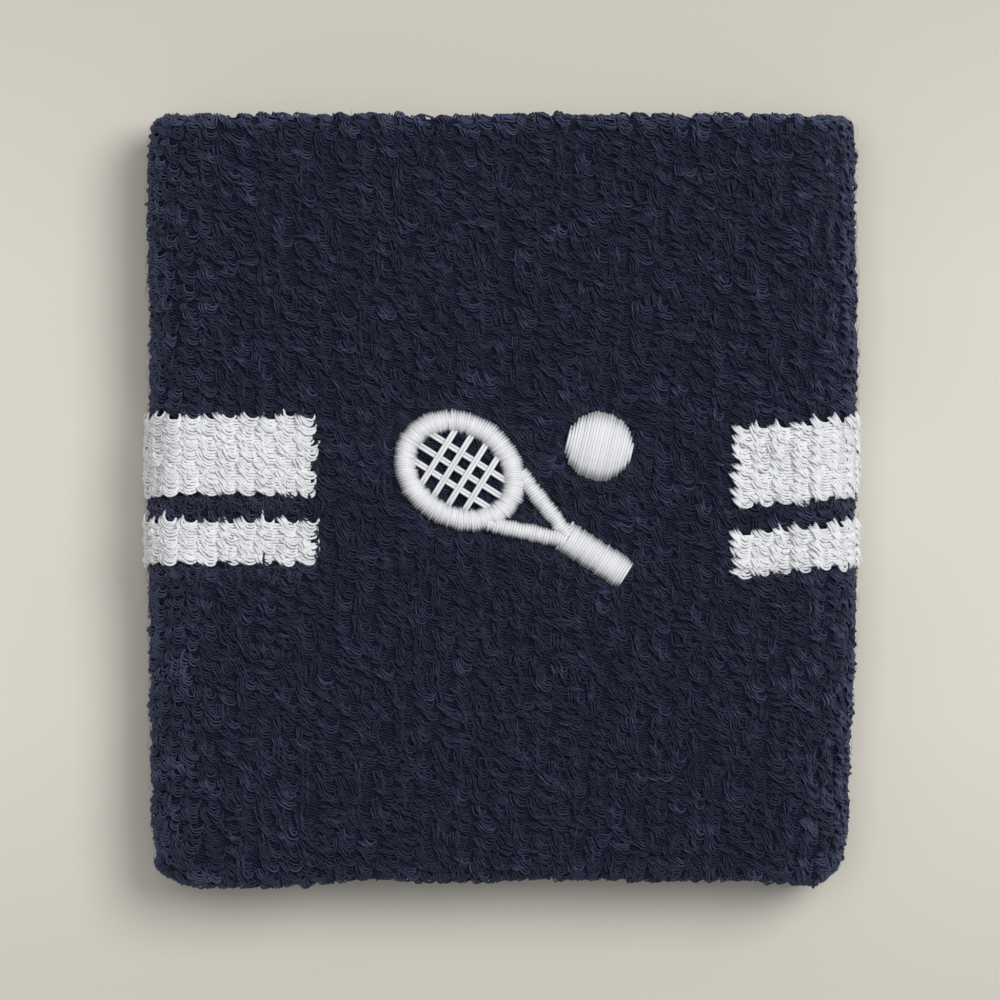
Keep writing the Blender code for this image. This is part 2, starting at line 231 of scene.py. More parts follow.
def stations(u):
    """Centre-line x and outward angle at each distance round the band."""
    marks = np.cumsum([0.0, 2 * HALF_FLAT, SIDE_TURN, 2 * HALF_FLAT, SIDE_TURN])
    turned = np.mod(u + HALF_FLAT, GIRTH)
    middle = np.interp(turned, marks, [-HALF_FLAT, HALF_FLAT, HALF_FLAT, -HALF_FLAT, -HALF_FLAT])
    angle = np.interp(turned, marks, np.radians([90, 90, -90, -90, -270]))
    return middle, angle


def place(middle, angle, radius, y):
    """The frame's own shape: a slot with round ends, crowned in front, drawn in towards the lower hem."""
    low = np.maximum(0.0, -y / HALF_LENGTH) ** 2
    x = (middle + radius * np.cos(angle)) * (1.0 - DRAW_IN * low / HALF_WIDTH) - LOWER_SHIFT * low
    bulge = CROWN * np.maximum(0.0, np.sin(angle)) * (1.0 - (x / HALF_WIDTH) ** 2)
    return x, y, OUTER_RADIUS + radius * np.sin(angle) + bulge


def hem_sag(x):
    """How far the lower hem hangs above or below its even line."""
    spots = [-36.0, -33.6, -32.0, -21.0, -14.0, 24.0, 29.0, 31.5, 33.5, 36.0]
    drops = [0.7, 0.5, -0.3, -0.3, 0.3, 0.3, -0.1, -0.3, 0.9, 1.3]
    return np.interp(x, spots, drops)


def unevenness(u, v):
    return SLOW_RISE * ripple(u, v, SLOW) + QUICK_RISE * ripple(u, v, QUICK)


def outer(u, v, height):
    """Points of the outer sleeve."""
    middle, angle = stations(u)
    past = np.maximum(np.abs(v) - STRAIGHT, 0.0)
    turn = np.minimum(past / LIP_MIDDLE, math.pi)
    tail = np.maximum(past - math.pi * LIP_MIDDLE, 0.0)
    height = height + unevenness(u, v)
    for middle_of_groove, depth, reach in HEM_GROOVES:
        height = height - depth * hump(v, middle_of_groove, reach)
    arm = LIP_GROUND + height
    radius = HEM_RADIUS + arm * np.cos(turn)
    y = np.sign(v) * (np.minimum(np.abs(v), STRAIGHT) + arm * np.sin(turn) - tail)
    x, y, z = place(middle, angle, radius, y)
    y = y + hem_sag(x) * smooth((-y - 31.0) / 8.0)
    return np.stack([x, y, np.maximum(z, 0.02)], axis=-1)


def lining(u, v, height):
    """Points of the lining, whose pile faces the wrist."""
    middle, angle = stations(u)
    radius = INNER_RADIUS + LINING_PILE - height + QUICK_RISE * ripple(u, v, SLOW)
    return np.stack(np.broadcast_arrays(*place(middle, angle, radius, v)), axis=-1)


def front(x, y, radius):
    """Points of the front, by x and y and their radius."""
    made = place(x, np.full_like(x, math.pi / 2), radius + unevenness(x, y), y)
    return np.stack(np.broadcast_arrays(*made), axis=-1)


# Making meshes


def add_mesh(name, points, faces, material, tone=None):
    """A mesh from its points and a list of face arrays, one array for each number of corners."""
    mesh = bpy.data.meshes.new(name)
    mesh.vertices.add(len(points))
    mesh.vertices.foreach_set("co", np.asarray(points * MM, np.float32).ravel())
    corners = np.concatenate([part.ravel() for part in faces]).astype(np.int32)
    counts = np.concatenate([np.full(len(part), part.shape[1]) for part in faces])
    mesh.loops.add(len(corners))
    mesh.loops.foreach_set("vertex_index", corners)
    mesh.polygons.add(len(counts))
    mesh.polygons.foreach_set("loop_start", np.cumsum(counts).astype(np.int32) - counts.astype(np.int32))
    mesh.update(calc_edges=True)
    mesh.validate()
    mesh.shade_smooth()
    if tone is not None:
        mesh.attributes.new("tone", "FLOAT", "POINT").data.foreach_set("value", tone.astype(np.float32))
    mesh.materials.append(material)
    piece = bpy.data.objects.new(name, mesh)
    bpy.context.scene.collection.objects.link(piece)
    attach(piece, "root")
    return piece


def unit(vectors):
    return vectors / np.maximum(np.linalg.norm(vectors, axis=-1, keepdims=True), 1e-9)


def tubes(paths, radius, sides):
    """Round closed tubes along paths (count, steps, 3). Gives points and faces."""
    count, steps, _ = paths.shape
    along = unit(np.gradient(paths, axis=1))
    helper = np.where(np.abs(along[:, 0, 2:3]) < 0.9, [[0.0, 0.0, 1.0]], [[1.0, 0.0, 0.0]])
    normal = unit(np.cross(along[:, 0], helper))
    turns = np.arange(sides) / sides * math.tau
    rings = np.empty((count, steps, sides, 3))
    radius = np.broadcast_to(np.asarray(radius, float).reshape(-1, 1, 1), (count, 1, 1))
    for i in range(steps):
        normal = unit(normal - along[:, i] * np.sum(normal * along[:, i], axis=1, keepdims=True))
        other = np.cross(along[:, i], normal)
        out = normal[:, None] * np.cos(turns)[:, None] + other[:, None] * np.sin(turns)[:, None]
        rings[:, i] = paths[:, i, None] + out * radius
    index = np.arange(count * steps * sides).reshape(count, steps, sides)
    after = np.roll(index, -1, axis=2)
    quads = np.stack([index[:, :-1], after[:, :-1], after[:, 1:], index[:, 1:]], axis=-1).reshape(-1, 4)
    caps = np.concatenate([index[:, 0, ::-1], index[:, -1]])
    return rings.reshape(-1, 3), [quads, caps]


def tube_piece(name, groups, material):
    """One piece of many tubes. A group is (paths, radius, sides, tone of each path)."""
    points, tones, faces, first = [], [], {}, 0
    for paths, radius, sides, tone in groups:
        made, parts = tubes(paths, radius, sides)
        for part in parts:
            faces.setdefault(part.shape[1], []).append(part + first)
        first += len(made)
        points.append(made)
        tones.append(np.repeat(tone, paths.shape[1] * sides))
    points = np.concatenate(points)
    points[:, 2] = np.maximum(points[:, 2], 0.0)
    faces = [np.concatenate(parts) for parts in faces.values()]
    return add_mesh(name, points, faces, material, np.concatenate(tones))


# Materials


def new_material(name):
    made = bpy.data.materials.new(name)
    made.use_nodes = True
    nodes = made.node_tree.nodes
    return made, nodes, made.node_tree.links, nodes["Principled BSDF"]


def coordinates(nodes, links, scale, detail=3.0):
    """Noise over the piece's own metres."""
    place_node = nodes.new("ShaderNodeTexCoord")
    noise = nodes.new("ShaderNodeTexNoise")
    noise.inputs["Scale"].default_value = scale
    noise.inputs["Detail"].default_value = detail
    links.new(place_node.outputs["Object"], noise.inputs["Vector"])
    return noise


def ramp(nodes, links, source, stops):
    """Colours along a value."""
    made = nodes.new("ShaderNodeValToRGB")
    elements = made.color_ramp.elements
    while len(elements) < len(stops):
        elements.new(0.5)
    for element, (position, colour) in zip(elements, stops):
        element.position = position
        element.color = (*colour, 1.0)
    links.new(source, made.inputs["Fac"])
    return made.outputs["Color"]


def add_bump(nodes, links, shader, height, strength, distance):
    bump = nodes.new("ShaderNodeBump")
    bump.inputs["Strength"].default_value = strength
    bump.inputs["Distance"].default_value = distance
    links.new(height, bump.inputs["Height"])
    links.new(bump.outputs["Normal"], shader.inputs["Normal"])


def add_roughness(nodes, links, shader, source, low, high):
    spread = nodes.new("ShaderNodeMapRange")
    spread.inputs["To Min"].default_value = low
    spread.inputs["To Max"].default_value = high
    links.new(source, spread.inputs["Value"])
    links.new(spread.outputs["Result"], shader.inputs["Roughness"])


def yarn_material(name, stops, roughness, sheen, sheen_tint, specular=0.25):
    """Cotton yarn: each strand has its own tone, and fibres that catch the light unevenly."""
    made, nodes, links, shader = new_material(name)
    tone = nodes.new("ShaderNodeAttribute")
    tone.attribute_name = "tone"
    links.new(ramp(nodes, links, tone.outputs["Fac"], stops), shader.inputs["Base Color"])
    fibres = coordinates(nodes, links, 9000.0, 2.0)
    add_roughness(nodes, links, shader, fibres.outputs["Fac"], roughness - 0.15, roughness + 0.15)
    add_bump(nodes, links, shader, fibres.outputs["Fac"], 0.5, 0.00002)
    shader.inputs["Specular IOR Level"].default_value = specular
    shader.inputs["Sheen Weight"].default_value = sheen
    shader.inputs["Sheen Roughness"].default_value = 0.45
    shader.inputs["Sheen Tint"].default_value = (*sheen_tint, 1.0)
    return made


def bands(nodes, links, pitch, turned, distortion):
    """From 0 to 1 and back at every pitch, along the piece's own turned x axis."""
    place_node = nodes.new("ShaderNodeTexCoord")
    turn = nodes.new("ShaderNodeMapping")
    turn.inputs["Rotation"].default_value = turned
    links.new(place_node.outputs["Object"], turn.inputs["Vector"])
    wave = nodes.new("ShaderNodeTexWave")
    wave.inputs["Scale"].default_value = math.tau / 20.0 / (pitch * MM)
    wave.inputs["Distortion"].default_value = distortion
    links.new(turn.outputs["Vector"], wave.inputs["Vector"])
    return wave.outputs["Fac"]


def ground_material(name, dark, light):
    """The knitted ground between the loops: wavy yarns across the band."""
    made, nodes, links, shader = new_material(name)
    yarns = bands(nodes, links, 0.30, (0.0, 0.0, math.pi / 2 + 0.3), 3.0)
    links.new(ramp(nodes, links, yarns, [(0.25, dark), (0.85, light)]), shader.inputs["Base Color"])
    add_bump(nodes, links, shader, yarns, 0.9, 0.0002)
    add_roughness(nodes, links, shader, yarns, 0.88, 1.0)
    shader.inputs["Specular IOR Level"].default_value = 0.1
    return made


def plied_material(name, dark, light, roughness, pitch, slope):
    """Thread or covered yarn that isn't modelled strand by strand: bands run slanting along it."""
    made, nodes, links, shader = new_material(name)
    plies = bands(nodes, links, pitch, (slope, 0.0, slope), 1.5)
    links.new(ramp(nodes, links, plies, [(0.0, dark), (1.0, light)]), shader.inputs["Base Color"])
    add_roughness(nodes, links, shader, plies, roughness + 0.08, roughness - 0.08)
    add_bump(nodes, links, shader, plies, 0.7, 0.00005)
    return made


def felt_material(name, dark, light):
    """Non-woven cloth: pressed fibres."""
    made, nodes, links, shader = new_material(name)
    noise = coordinates(nodes, links, 3000.0, 6.0)
    colour = ramp(nodes, links, noise.outputs["Fac"], [(0.3, dark), (0.7, light)])
    links.new(colour, shader.inputs["Base Color"])
    add_roughness(nodes, links, shader, noise.outputs["Fac"], 0.8, 0.98)
    add_bump(nodes, links, shader, noise.outputs["Fac"], 0.8, 0.0001)
    return made


NAVY_STOPS = [
    (0.0, (0.0072, 0.0080, 0.0215)),
    (0.3, (0.0120, 0.0128, 0.0345)),
    (0.5, (0.0130, 0.0176, 0.0400)),
    (0.7, (0.0215, 0.0250, 0.0580)),
    (1.0, (0.0480, 0.0590, 0.1180)),
]
WHITE_STOPS = [(0.0, (0.69, 0.70, 0.725)), (0.5, (0.765, 0.775, 0.80)), (1.0, (0.83, 0.84, 0.865))]
SATIN_STOPS = [(0.0, (0.68, 0.69, 0.72)), (1.0, (0.80, 0.81, 0.83))]
HAZE_STOPS = [(0.0, (0.055, 0.050, 0.085)), (1.0, (0.16, 0.145, 0.22))]

NAVY = yarn_material("navy_yarn", NAVY_STOPS, 0.62, 0.15, (0.45, 0.5, 0.8), 0.3)
WHITE = yarn_material("white_yarn", WHITE_STOPS, 0.8, 0.1, (1.0, 1.0, 1.0))
SATIN = yarn_material("satin_yarn", SATIN_STOPS, 0.42, 0.1, (1.0, 1.0, 1.0), 0.4)
HAZE = yarn_material("loose_fibre", HAZE_STOPS, 0.8, 0.0, (1.0, 1.0, 1.0), 0.1)
NAVY_GROUND = ground_material("navy_ground", (0.0080, 0.0088, 0.0205), (0.020, 0.023, 0.046))
SEAM_THREAD = plied_material("seam_thread_knit", (0.010, 0.011, 0.024), (0.024, 0.026, 0.048), 0.85, 0.7, 0.3)
RUBBER_COVER = plied_material("rubber_cover", (0.022, 0.022, 0.034), (0.06, 0.06, 0.08), 0.7, 0.25, 0.8)
FELT = felt_material("nonwoven_felt", (0.68, 0.68, 0.66), (0.80, 0.80, 0.78))
BOBBIN_THREAD = plied_material("bobbin_thread", (0.66, 0.67, 0.70), (0.80, 0.81, 0.84), 0.6, 0.3, 0.6)

# The frame's own pieces that lie between the layers and stay as they are
CARRIED_OVER = {
    "closing_seam": SEAM_THREAD,
    "outer_elastic_yarn": RUBBER_COVER,
    "inner_elastic_yarn": RUBBER_COVER,
    "emblem_backing": FELT,
    "emblem_bobbin_thread": BOBBIN_THREAD,
}


# The emblem's outlines, for the stitches and for the pile that they press down


def racket(along, across):
    """Places on the racket, by the distance along its axis from the middle of its head, and across."""
    along, across = np.asarray(along, float), np.asarray(across, float)
    x = HEAD[0] + along * math.cos(TILT) - across * math.sin(TILT)
    y = HEAD[1] + along * math.sin(TILT) + across * math.cos(TILT)
    return np.stack(np.broadcast_arrays(x, y), axis=-1)


def ellipse_distance(along, across, half_long, half_wide):
    """About how far a place is outside an ellipse; below 0 inside."""
    level = (along / half_long) ** 2 + (across / half_wide) ** 2 - 1.0
    slope = 2.0 * np.hypot(along / half_long**2, across / half_wide**2)
    return level / np.maximum(slope, 0.05)


def bar_distance(along, across, start, end, half):
    """How far a place is outside a bar with round ends."""
    run = np.array(end) - np.array(start)
    share = ((along - start[0]) * run[0] + (across - start[1]) * run[1]) / (run @ run)
    share = np.clip(share, 0.0, 1.0)
    return np.hypot(along - start[0] - share * run[0], across - start[1] - share * run[1]) - half


THROAT_TOP = (HOOP[0] * 0.78, HOOP[1] * 0.525)
THROAT_HALF = 0.75


def emblem_distance(x, y):
    """How far a place on the front is from the nearest stitched field, and from the hoop's window.

    The first is below 0 on a field, and the second is above 0 inside the window.
    """
    dx, dy = x - HEAD[0], y - HEAD[1]
    along = dx * math.cos(TILT) + dy * math.sin(TILT)
    across = dy * math.cos(TILT) - dx * math.sin(TILT)
    outside = ellipse_distance(along, across, *HOOP)
    window = -ellipse_distance(along, across, HOOP[0] - HOOP_STROKE, HOOP[1] - HOOP_STROKE)
    hoop = np.maximum(outside, window)
    middle = ((GRIP[0] + GRIP[2], 0.0), (GRIP[1] - GRIP[2], 0.0))
    grip = bar_distance(along, across, *middle, GRIP[2])
    foot = (THROAT_FOOT, 0.35)
    arms = [bar_distance(along, across * side, THROAT_TOP, foot, THROAT_HALF) for side in (1, -1)]
    ball = np.hypot(x - BALL[0], y - BALL[1]) - BALL_RADIUS
    nearest = np.minimum.reduce([hoop, grip, ball, *arms])
    return nearest, window


# The ground of both sleeves


def turned_over(u, v):
    """From 0 on the flats of the band to 1 on its sides and hems."""
    return np.maximum(smooth((np.abs(u) - HALF_FLAT) / 5.0), smooth((np.abs(v) - STRAIGHT) / 2.0))


def ground_rise(u, v):
    """How high the ground's face stands: less beside the stitches, and more on the sides and hems."""
    near, _ = emblem_distance(u, v)
    drawn_in = np.where(np.abs(u) < HALF_FLAT, smooth(near / 2.0), 1.0)
    return GROUND_RISE * drawn_in + STRETCHED_RISE * turned_over(u, v)


def ground_piece(name, surface, end, steps, rows, thickness, material):
    """A closed shell: the face under the pile, and the reverse."""
    u = np.linspace(0.0, GIRTH, steps, endpoint=False)
    v = np.linspace(-end, end, rows)
    around = (u + GIRTH / 2) % GIRTH - GIRTH / 2
    rise = ground_rise(around[:, None], v[None, :]) if surface is outer else np.zeros((steps, rows))
    levels = [surface(u[:, None], v[None, :], height) for height in (rise, np.full_like(rise, -thickness))]
    points = np.concatenate([level.reshape(-1, 3) for level in levels])
    index = np.arange(2 * steps * rows).reshape(2, steps, rows)
    after = np.roll(index, -1, axis=1)
    face = np.stack([index[0, :, :-1], after[0, :, :-1], after[0, :, 1:], index[0, :, 1:]], axis=-1)
    back = np.stack([index[1, :, :-1], index[1, :, 1:], after[1, :, 1:], after[1, :, :-1]], axis=-1)
    low = np.stack([index[0, :, 0], index[1, :, 0], after[1, :, 0], after[0, :, 0]], axis=-1)
    high = np.stack([index[0, :, -1], after[0, :, -1], after[1, :, -1], index[1, :, -1]], axis=-1)
    faces = np.concatenate([part.reshape(-1, 4) for part in (face, back, low, high)])
    return add_mesh(name, points, [faces], material)


# The pile


def hook_form(steps):
    """One loop from above: a long slanting leg, a bow, and an end that goes under the next loop.

    Gives how far each point is aside, down the wall, and up, as shares of the loop's size.
    """
    share = np.linspace(0.0, 1.0, steps)
    turns = math.pi * (1.0 + 0.88 * share)
    aside = np.sign(np.cos(turns)) * np.abs(np.cos(turns)) ** 0.8
    aside = aside * np.where(turns < 1.5 * math.pi, 1.0, 1.3)
    down = np.maximum(-np.sin(turns), 0.0) ** 0.85
    return aside, down, np.sin(math.pi * share**0.6)


def slant_form(steps):
    """A loop of which only one slanting side shows."""
    share = np.linspace(0.0, 1.0, steps)
    down = share + 0.06 * np.sin(math.tau * share)
    return 2.0 * share - 1.0, down, np.sin(math.pi * (0.06 + 0.88 * share))


FINE_HOOK = hook_form(8)
FINE_SLANT = slant_form(5)
PLAIN_HOOK = hook_form(7)
PLAIN_SLANT = slant_form(4)


def loop_paths(surface, form, foot, size, slant, yaw):
    """Paths of loops that lie over down the wall. size is (half width, length, height)."""
    aside, down, up = form
    u, v, ground = (part[:, None] for part in foot)
    width, length, height = (part[:, None] for part in size)
    across = width * aside - slant[:, None] * (1.0 - down)
    along = length * down
    turn = yaw[:, None]
    du = across * np.cos(turn) + along * np.sin(turn)
    dv = along * np.cos(turn) - across * np.sin(turn)
    return surface(u + du, v - dv, ground + height * up)


def tube_triangles(points, sides):
    return (points - 1) * sides * 2 + 2 * (sides - 2)


def stripe_dip(u, v):
    """The courses dip where the stripes end on the right of the front."""
    nearness = hump(u, SAG_MIDDLE, SAG_REACH)
    lower = RIGHT_DROP * smooth((u - 12.0) / 10.0) * (1.0 - smooth((u - 40.0) / 14.0))
    return -(STRIPE_SAG * nearness + lower) * np.exp(-(((v - 1.0) / 14.0) ** 4))


def knit(end, top):
    """Every loop of a sleeve: its place, and which course it is in."""
    first = math.floor((top - end) / COURSE) + 1
    last = math.floor((top + end) / COURSE)
    wale, course = (part.ravel() for part in np.meshgrid(np.arange(WALES), np.arange(first, last + 1)))
    u = (FIRST_WALE + wale * WALE_WIDTH + GIRTH / 2) % GIRTH - GIRTH / 2
    return u, top - course * COURSE, course


def stripe_rows(course, u, first, count):
    """Which loops belong to a stripe of so many courses."""
    right, left = STRIPE_ENDS
    return (course >= first) & (course < first + count) & ((u > right) | (u < left))


def stripe_bulge(u):
    """How far the white pile stands out further, round the sides and the back."""
    return STRIPE_BULGE * smooth((np.abs(u) - HALF_FLAT) / 5.0)


# The first course of each stripe, counted from the top of the wide one, and how many it has
STRIPES = {
    "wide_stripe_pile": (0, WIDE_COURSES),
    "narrow_stripe_pile": (WIDE_COURSES + NAVY_COURSES, NARROW_COURSES),
}


def stripe_floats(first, count):
    """The white yarn's own courses in the ground, under its loops: three strands to a course."""
    right, left = STRIPE_ENDS
    lines = np.arange(3 * count - 2)
    v = (WIDE_TOP + FIRST_FOOT - first * COURSE - FLOAT_DROP - lines * COURSE / 3)[:, None]
    u = np.linspace(right + 0.1, GIRTH + left - 0.4, 200)[None, :]
    around = (u + GIRTH / 2) % GIRTH - GIRTH / 2
    weave = FLOAT_RISE[1] * np.sin(math.tau * u / WALE_WIDTH + lines[:, None] * 2.1)
    paths = outer(u, v + stripe_dip(around, v), FLOAT_RISE[0] + 0.85 * stripe_bulge(around) + weave)
    return paths, FLOAT_RADIUS, 3, np.full(len(lines), 0.6)


# Where a loop lies, from its own place: for finding what it touches
LOOP_SPOTS = [(-1.2, -0.2), (-0.8, -0.95), (-0.1, -0.8), (0.0, -1.35), (0.8, -0.9)]


def emblem_touch(u, v):
    """For each loop: its least and greatest distance from the stitches, and whether it is in the window."""
    gaps = np.array([emblem_distance(u + du, v + dv) for du, dv in LOOP_SPOTS])
    return gaps[:, 0].min(axis=0), gaps[:, 0].max(axis=0), gaps[:, 1].max(axis=0) > 0.0


# Painted light and shade in the yarn's tone: painted sheen where the folds and hems turn, and painted shade
# in a groove and between ribs
# Painted sheen on the folds, strongest on the left, which the key lamp leaves in shade
PAINTED_FOLD_SHEEN = [(0.50, 0.50, 3.2), (0.13, 0.065, 15.0), (0.46, 0.0, 6.0)]  # on the left, the right, reach
# Painted sheen on the upper hem's lip, painted shade in a groove below it, and painted sheen on the lower
# hem's lip
PAINTED_HEM_SHEEN_AND_SHADE = [
    (0.60, STRAIGHT + 3.0, 1.9),  # amount, middle, reach
    (-0.14, STRAIGHT - 0.3, 0.6),
    (0.15, -STRAIGHT - 2.6, 2.0),
]
PLAIN_TONE = 0.40
RIPPLE_TONE = 0.15
# Painted light and shade that alternate from wale to wale, as ribs would show them
PAINTED_RIB_SHADE = 0.08
PAINTED_RIB_SPAN = (26.0, 44.0, 5.0)  # the wales show as ribs from here to there, and how soon that fades


def outer_tones(u, v):
    """How light the yarn is painted: lightest on the folds and the upper hem, with painted sheen, and darker
    with painted shade in a groove and between ribs.
    """
    fold = np.abs(np.abs(u) - FOLD)
    lift = PLAIN_TONE + RIPPLE_TONE * ripple(u, v, TONES)
    # Painted sheen on the folds
    for left, right, reach in PAINTED_FOLD_SHEEN:
        lift = lift + np.where(u < 0, left, right) * hump(fold, 0.0, reach)
    # Painted sheen on the hems' lips and painted shade in the groove below the upper hem
    for amount, middle, reach in PAINTED_HEM_SHEEN_AND_SHADE:
        lift = lift + amount * hump(v, middle, reach)
    # Painted rib shade on the right of the band, fading in and out over its span
    first, last, fade = PAINTED_RIB_SPAN
    rib_shade_share = smooth((u - first) / fade) * smooth((last - u) / fade)
    return lift + PAINTED_RIB_SHADE * rib_shade_share * np.cos(math.tau * (u - FIRST_WALE) / WALE_WIDTH)


def lay_loops():
    """Every loop of the outer pile, and which of them each zone of it has.

    The loops come as rows of u, v, height of the foot, how far the loop may lift, yaw and tone.
    """
    u, v, course = knit(WALL_END - 0.2, WIDE_TOP + FIRST_FOOT)
    rows = {name: stripe_rows(course, u, *span) for name, span in STRIPES.items()}
    white = rows["wide_stripe_pile"] | rows["narrow_stripe_pile"]
    count = len(u)
    around = np.abs(u)
    flat_front = around < HALF_FLAT
    v = v + stripe_dip(u, v)
    drift = ripple(u, v, DRIFT)
    loose = np.where(white, WHITE_LOOSE, 1.0)
    shifts = random.normal(0.0, COURSE_SPREAD, course.max() - course.min() + 1)
    shift = shifts[course - course.min()] + DRIFT_SHIFT * drift
    u = u + (random.normal(0.0, LOOP_SPREAD, count) + shift) * loose
    v = v + random.normal(0.0, LOOP_SPREAD, count) * loose
    stray = random.random(count) < STRAY_SHARE
    ground = np.where(white, 0.0, NAVY_FOOT) + random.normal(0.0, FOOT_SPREAD, count)
    over = turned_over(u, v)
    lower_right = smooth((u - HALF_FLAT) / 5.0) * smooth((-v - 8.0) / 12.0)
    ground = ground + np.where(white, stripe_bulge(u), SIDE_LIFT * over + LOWER_RIGHT_LIFT * lower_right)
    tone = outer_tones(u, v) + random.normal(0.0, TONE_SPREAD[0], count)
    yaw = np.radians(DRIFT_YAW[0] + DRIFT_YAW[1] * drift) * loose

    # Under the stitches there is no pile, and beside them it is pressed down
    near, inside, window = emblem_touch(u, v)
    near = np.where(flat_front, near, FAR)
    press = PRESSED + (1.0 - PRESSED) * smooth(near / PRESS_REACH)
    press = np.where(flat_front & window, WINDOW_PRESS, press) * np.where(stray, STRAY_LIFT, 1.0)
    press = press * np.where(white, WHITE_PRESS, 1.0) * (1.0 - STRETCH_PRESS * over)
    keep = ~flat_front | (inside > -0.25)

    back = around > HALF_FLAT + SIDE_TURN
    upper_hem = v > STRAIGHT - 1.0
    lower_hem = v < -STRAIGHT + 1.0
    side = ~flat_front & ~back
    plain = ~white & ~back & ~upper_hem & ~lower_hem
    zones = {
        "wide_stripe_pile": rows["wide_stripe_pile"],
        "narrow_stripe_pile": rows["narrow_stripe_pile"],
        "top_hem_pile": ~white & upper_hem & ~back,
        "lower_hem_pile": ~white & lower_hem & ~back,
        "front_pile": plain & flat_front,
        "right_side_pile": plain & side & (u > 0),
        "left_side_pile": plain & side & (u < 0),
        "back_pile": ~white & back,
    }
    chosen = {name: np.flatnonzero(zone & keep) for name, zone in zones.items()}
    return np.stack([u, v, ground, press, yaw, tone]), chosen


def loop_groups(loops, forms, sides, yarn):
    """Tubes of some loops, each a hook and a slanting side, both of three strands."""
    u, v, ground, press, yaw, tone = loops
    thick, wild, broad = yarn
    count = len(u)
    kinds = [
        (forms[0], HOOK_SIZE, HOOK_STEP, (0.0, 0.0), HOOK_SLANT, HOOK_TURNING),
        (forms[1], SLANT_SIZE, SLANT_STEP, SLANT_PLACE, 0.0, SLANT_TURNING),
    ]
    groups = []
    for form, size, step, offset, slant, turning in kinds:
        shift = random.normal(0.0, SIDE_SPREAD * wild, (2, count)) + np.array(offset)[:, None]
        scales = random.normal(1.0, SIZE_SPREAD * wild, (3, count))
        width, length, height = (scale * side for scale, side in zip(scales, size))
        slants = slant + random.normal(0.0, SLANT_SPREAD, count)
        turned = yaw + random.normal(0.0, turning * wild, count)
        shade = tone + random.normal(0.0, TONE_SPREAD[1], count)
        for strand in range(STRANDS):
            jitter = random.normal(0.0, STRAND_SPREAD, (4, count))
            across = u + shift[0] + step[0] * strand + jitter[0]
            along = v + shift[1] + step[1] * strand + jitter[1]
            lift = (height - STRAND_DROP * strand + jitter[2]) * press
            reach = (width * broad * (1.0 + jitter[3]), length, lift)
            twist = turned + random.normal(0.0, TWIST_SPREAD, count)
            paths = loop_paths(outer, form, (across, along, ground), reach, slants, twist)
            mixed = np.clip(shade + random.normal(0.0, TONE_SPREAD[2], count), 0.0, 1.0)
            groups.append((paths, thick, sides, mixed))
    return groups


def make_outer_pile():
    """The pieces of each zone: no more in one than its limit of triangles."""
    loops, zones = lay_loops()
    pieces = {}
    for name, chosen in zones.items():
        white = name in STRIPES
        forms, sides = (FINE_HOOK, FINE_SLANT), 4
        if name == "back_pile":
            forms, sides = (PLAIN_HOOK, PLAIN_SLANT), 3
        triangles = STRANDS * sum(tube_triangles(len(form[0]), sides) for form in forms)
        parts = math.ceil(len(chosen) * triangles / STRAND_LIMIT)
        made = []
        for number, some in enumerate(np.array_split(chosen, parts), 1):
            groups = loop_groups(loops[:, some], forms, sides, WHITE_YARN if white else NAVY_YARN)
            label = name if parts == 1 else f"{name}_{number}"
            made.append(tube_piece(label, groups, WHITE if white else NAVY))
        if white:
            floats = stripe_floats(*STRIPES[name])
            made.append(tube_piece(name.replace("pile", "floats"), [floats], WHITE))
        pieces[name] = made
    return pieces


def make_lining_pile():
    """The lining's own loops, plainer, of two strands."""
    u, v, _ = knit(LINING_END - 0.3, 0.0)
    count = len(u)
    u = u + random.normal(0.0, 0.08, count)
    v = v + random.normal(0.0, 0.06, count)
    size = tuple(random.normal(middle, 0.08, count) for middle in (1.0, 1.3, 0.72))
    slant = random.normal(0.55, 0.1, count)
    yaw = random.normal(0.07, 0.1, count)
    tone = random.normal(0.45, 0.15, count)
    parts = np.array_split(np.argsort(-v, kind="stable"), 3)
    pieces = []
    for number, some in enumerate(parts, 1):
        groups = []
        for strand in range(2):
            foot = (u[some] + 0.12 * strand, v[some] + 0.45 * strand, np.full(len(some), -0.05))
            chosen = [part[some] for part in size]
            paths = loop_paths(lining, PLAIN_HOOK, foot, chosen, slant[some], yaw[some])
            groups.append((paths, 0.17, 3, np.clip(tone[some], 0.0, 1.0)))
        pieces.append(tube_piece(f"lining_pile_{number}", groups, NAVY))
    return pieces


PILE_FIBRES = 2600
STRIPE_FIBRES = 420


def make_fuzz(name, u, v, height, length, direction, material, thin):
    """Fine loose fibres: gentle arcs from their foot, in the plane of the cloth, lifting as they go."""
    count = len(u)
    share = np.linspace(0.0, 1.0, 6)
    curl = random.normal(0.0, 1.1, (count, 1))
    turn = direction[:, None] + curl * share
    step = length[:, None] / 5.0
    across = np.cumsum(np.cos(turn) * step, axis=1)
    along = np.cumsum(np.sin(turn) * step, axis=1)
    lift = height[:, None] + random.uniform(0.0, 0.3, (count, 1)) * np.sin(share * math.pi * 0.8)
    paths = outer(u[:, None] + across, v[:, None] + along, lift)
    tone = np.clip(random.normal(0.8, 0.15, count), 0.0, 1.0)
    return tube_piece(name, [(paths, thin, 3, tone)], material)


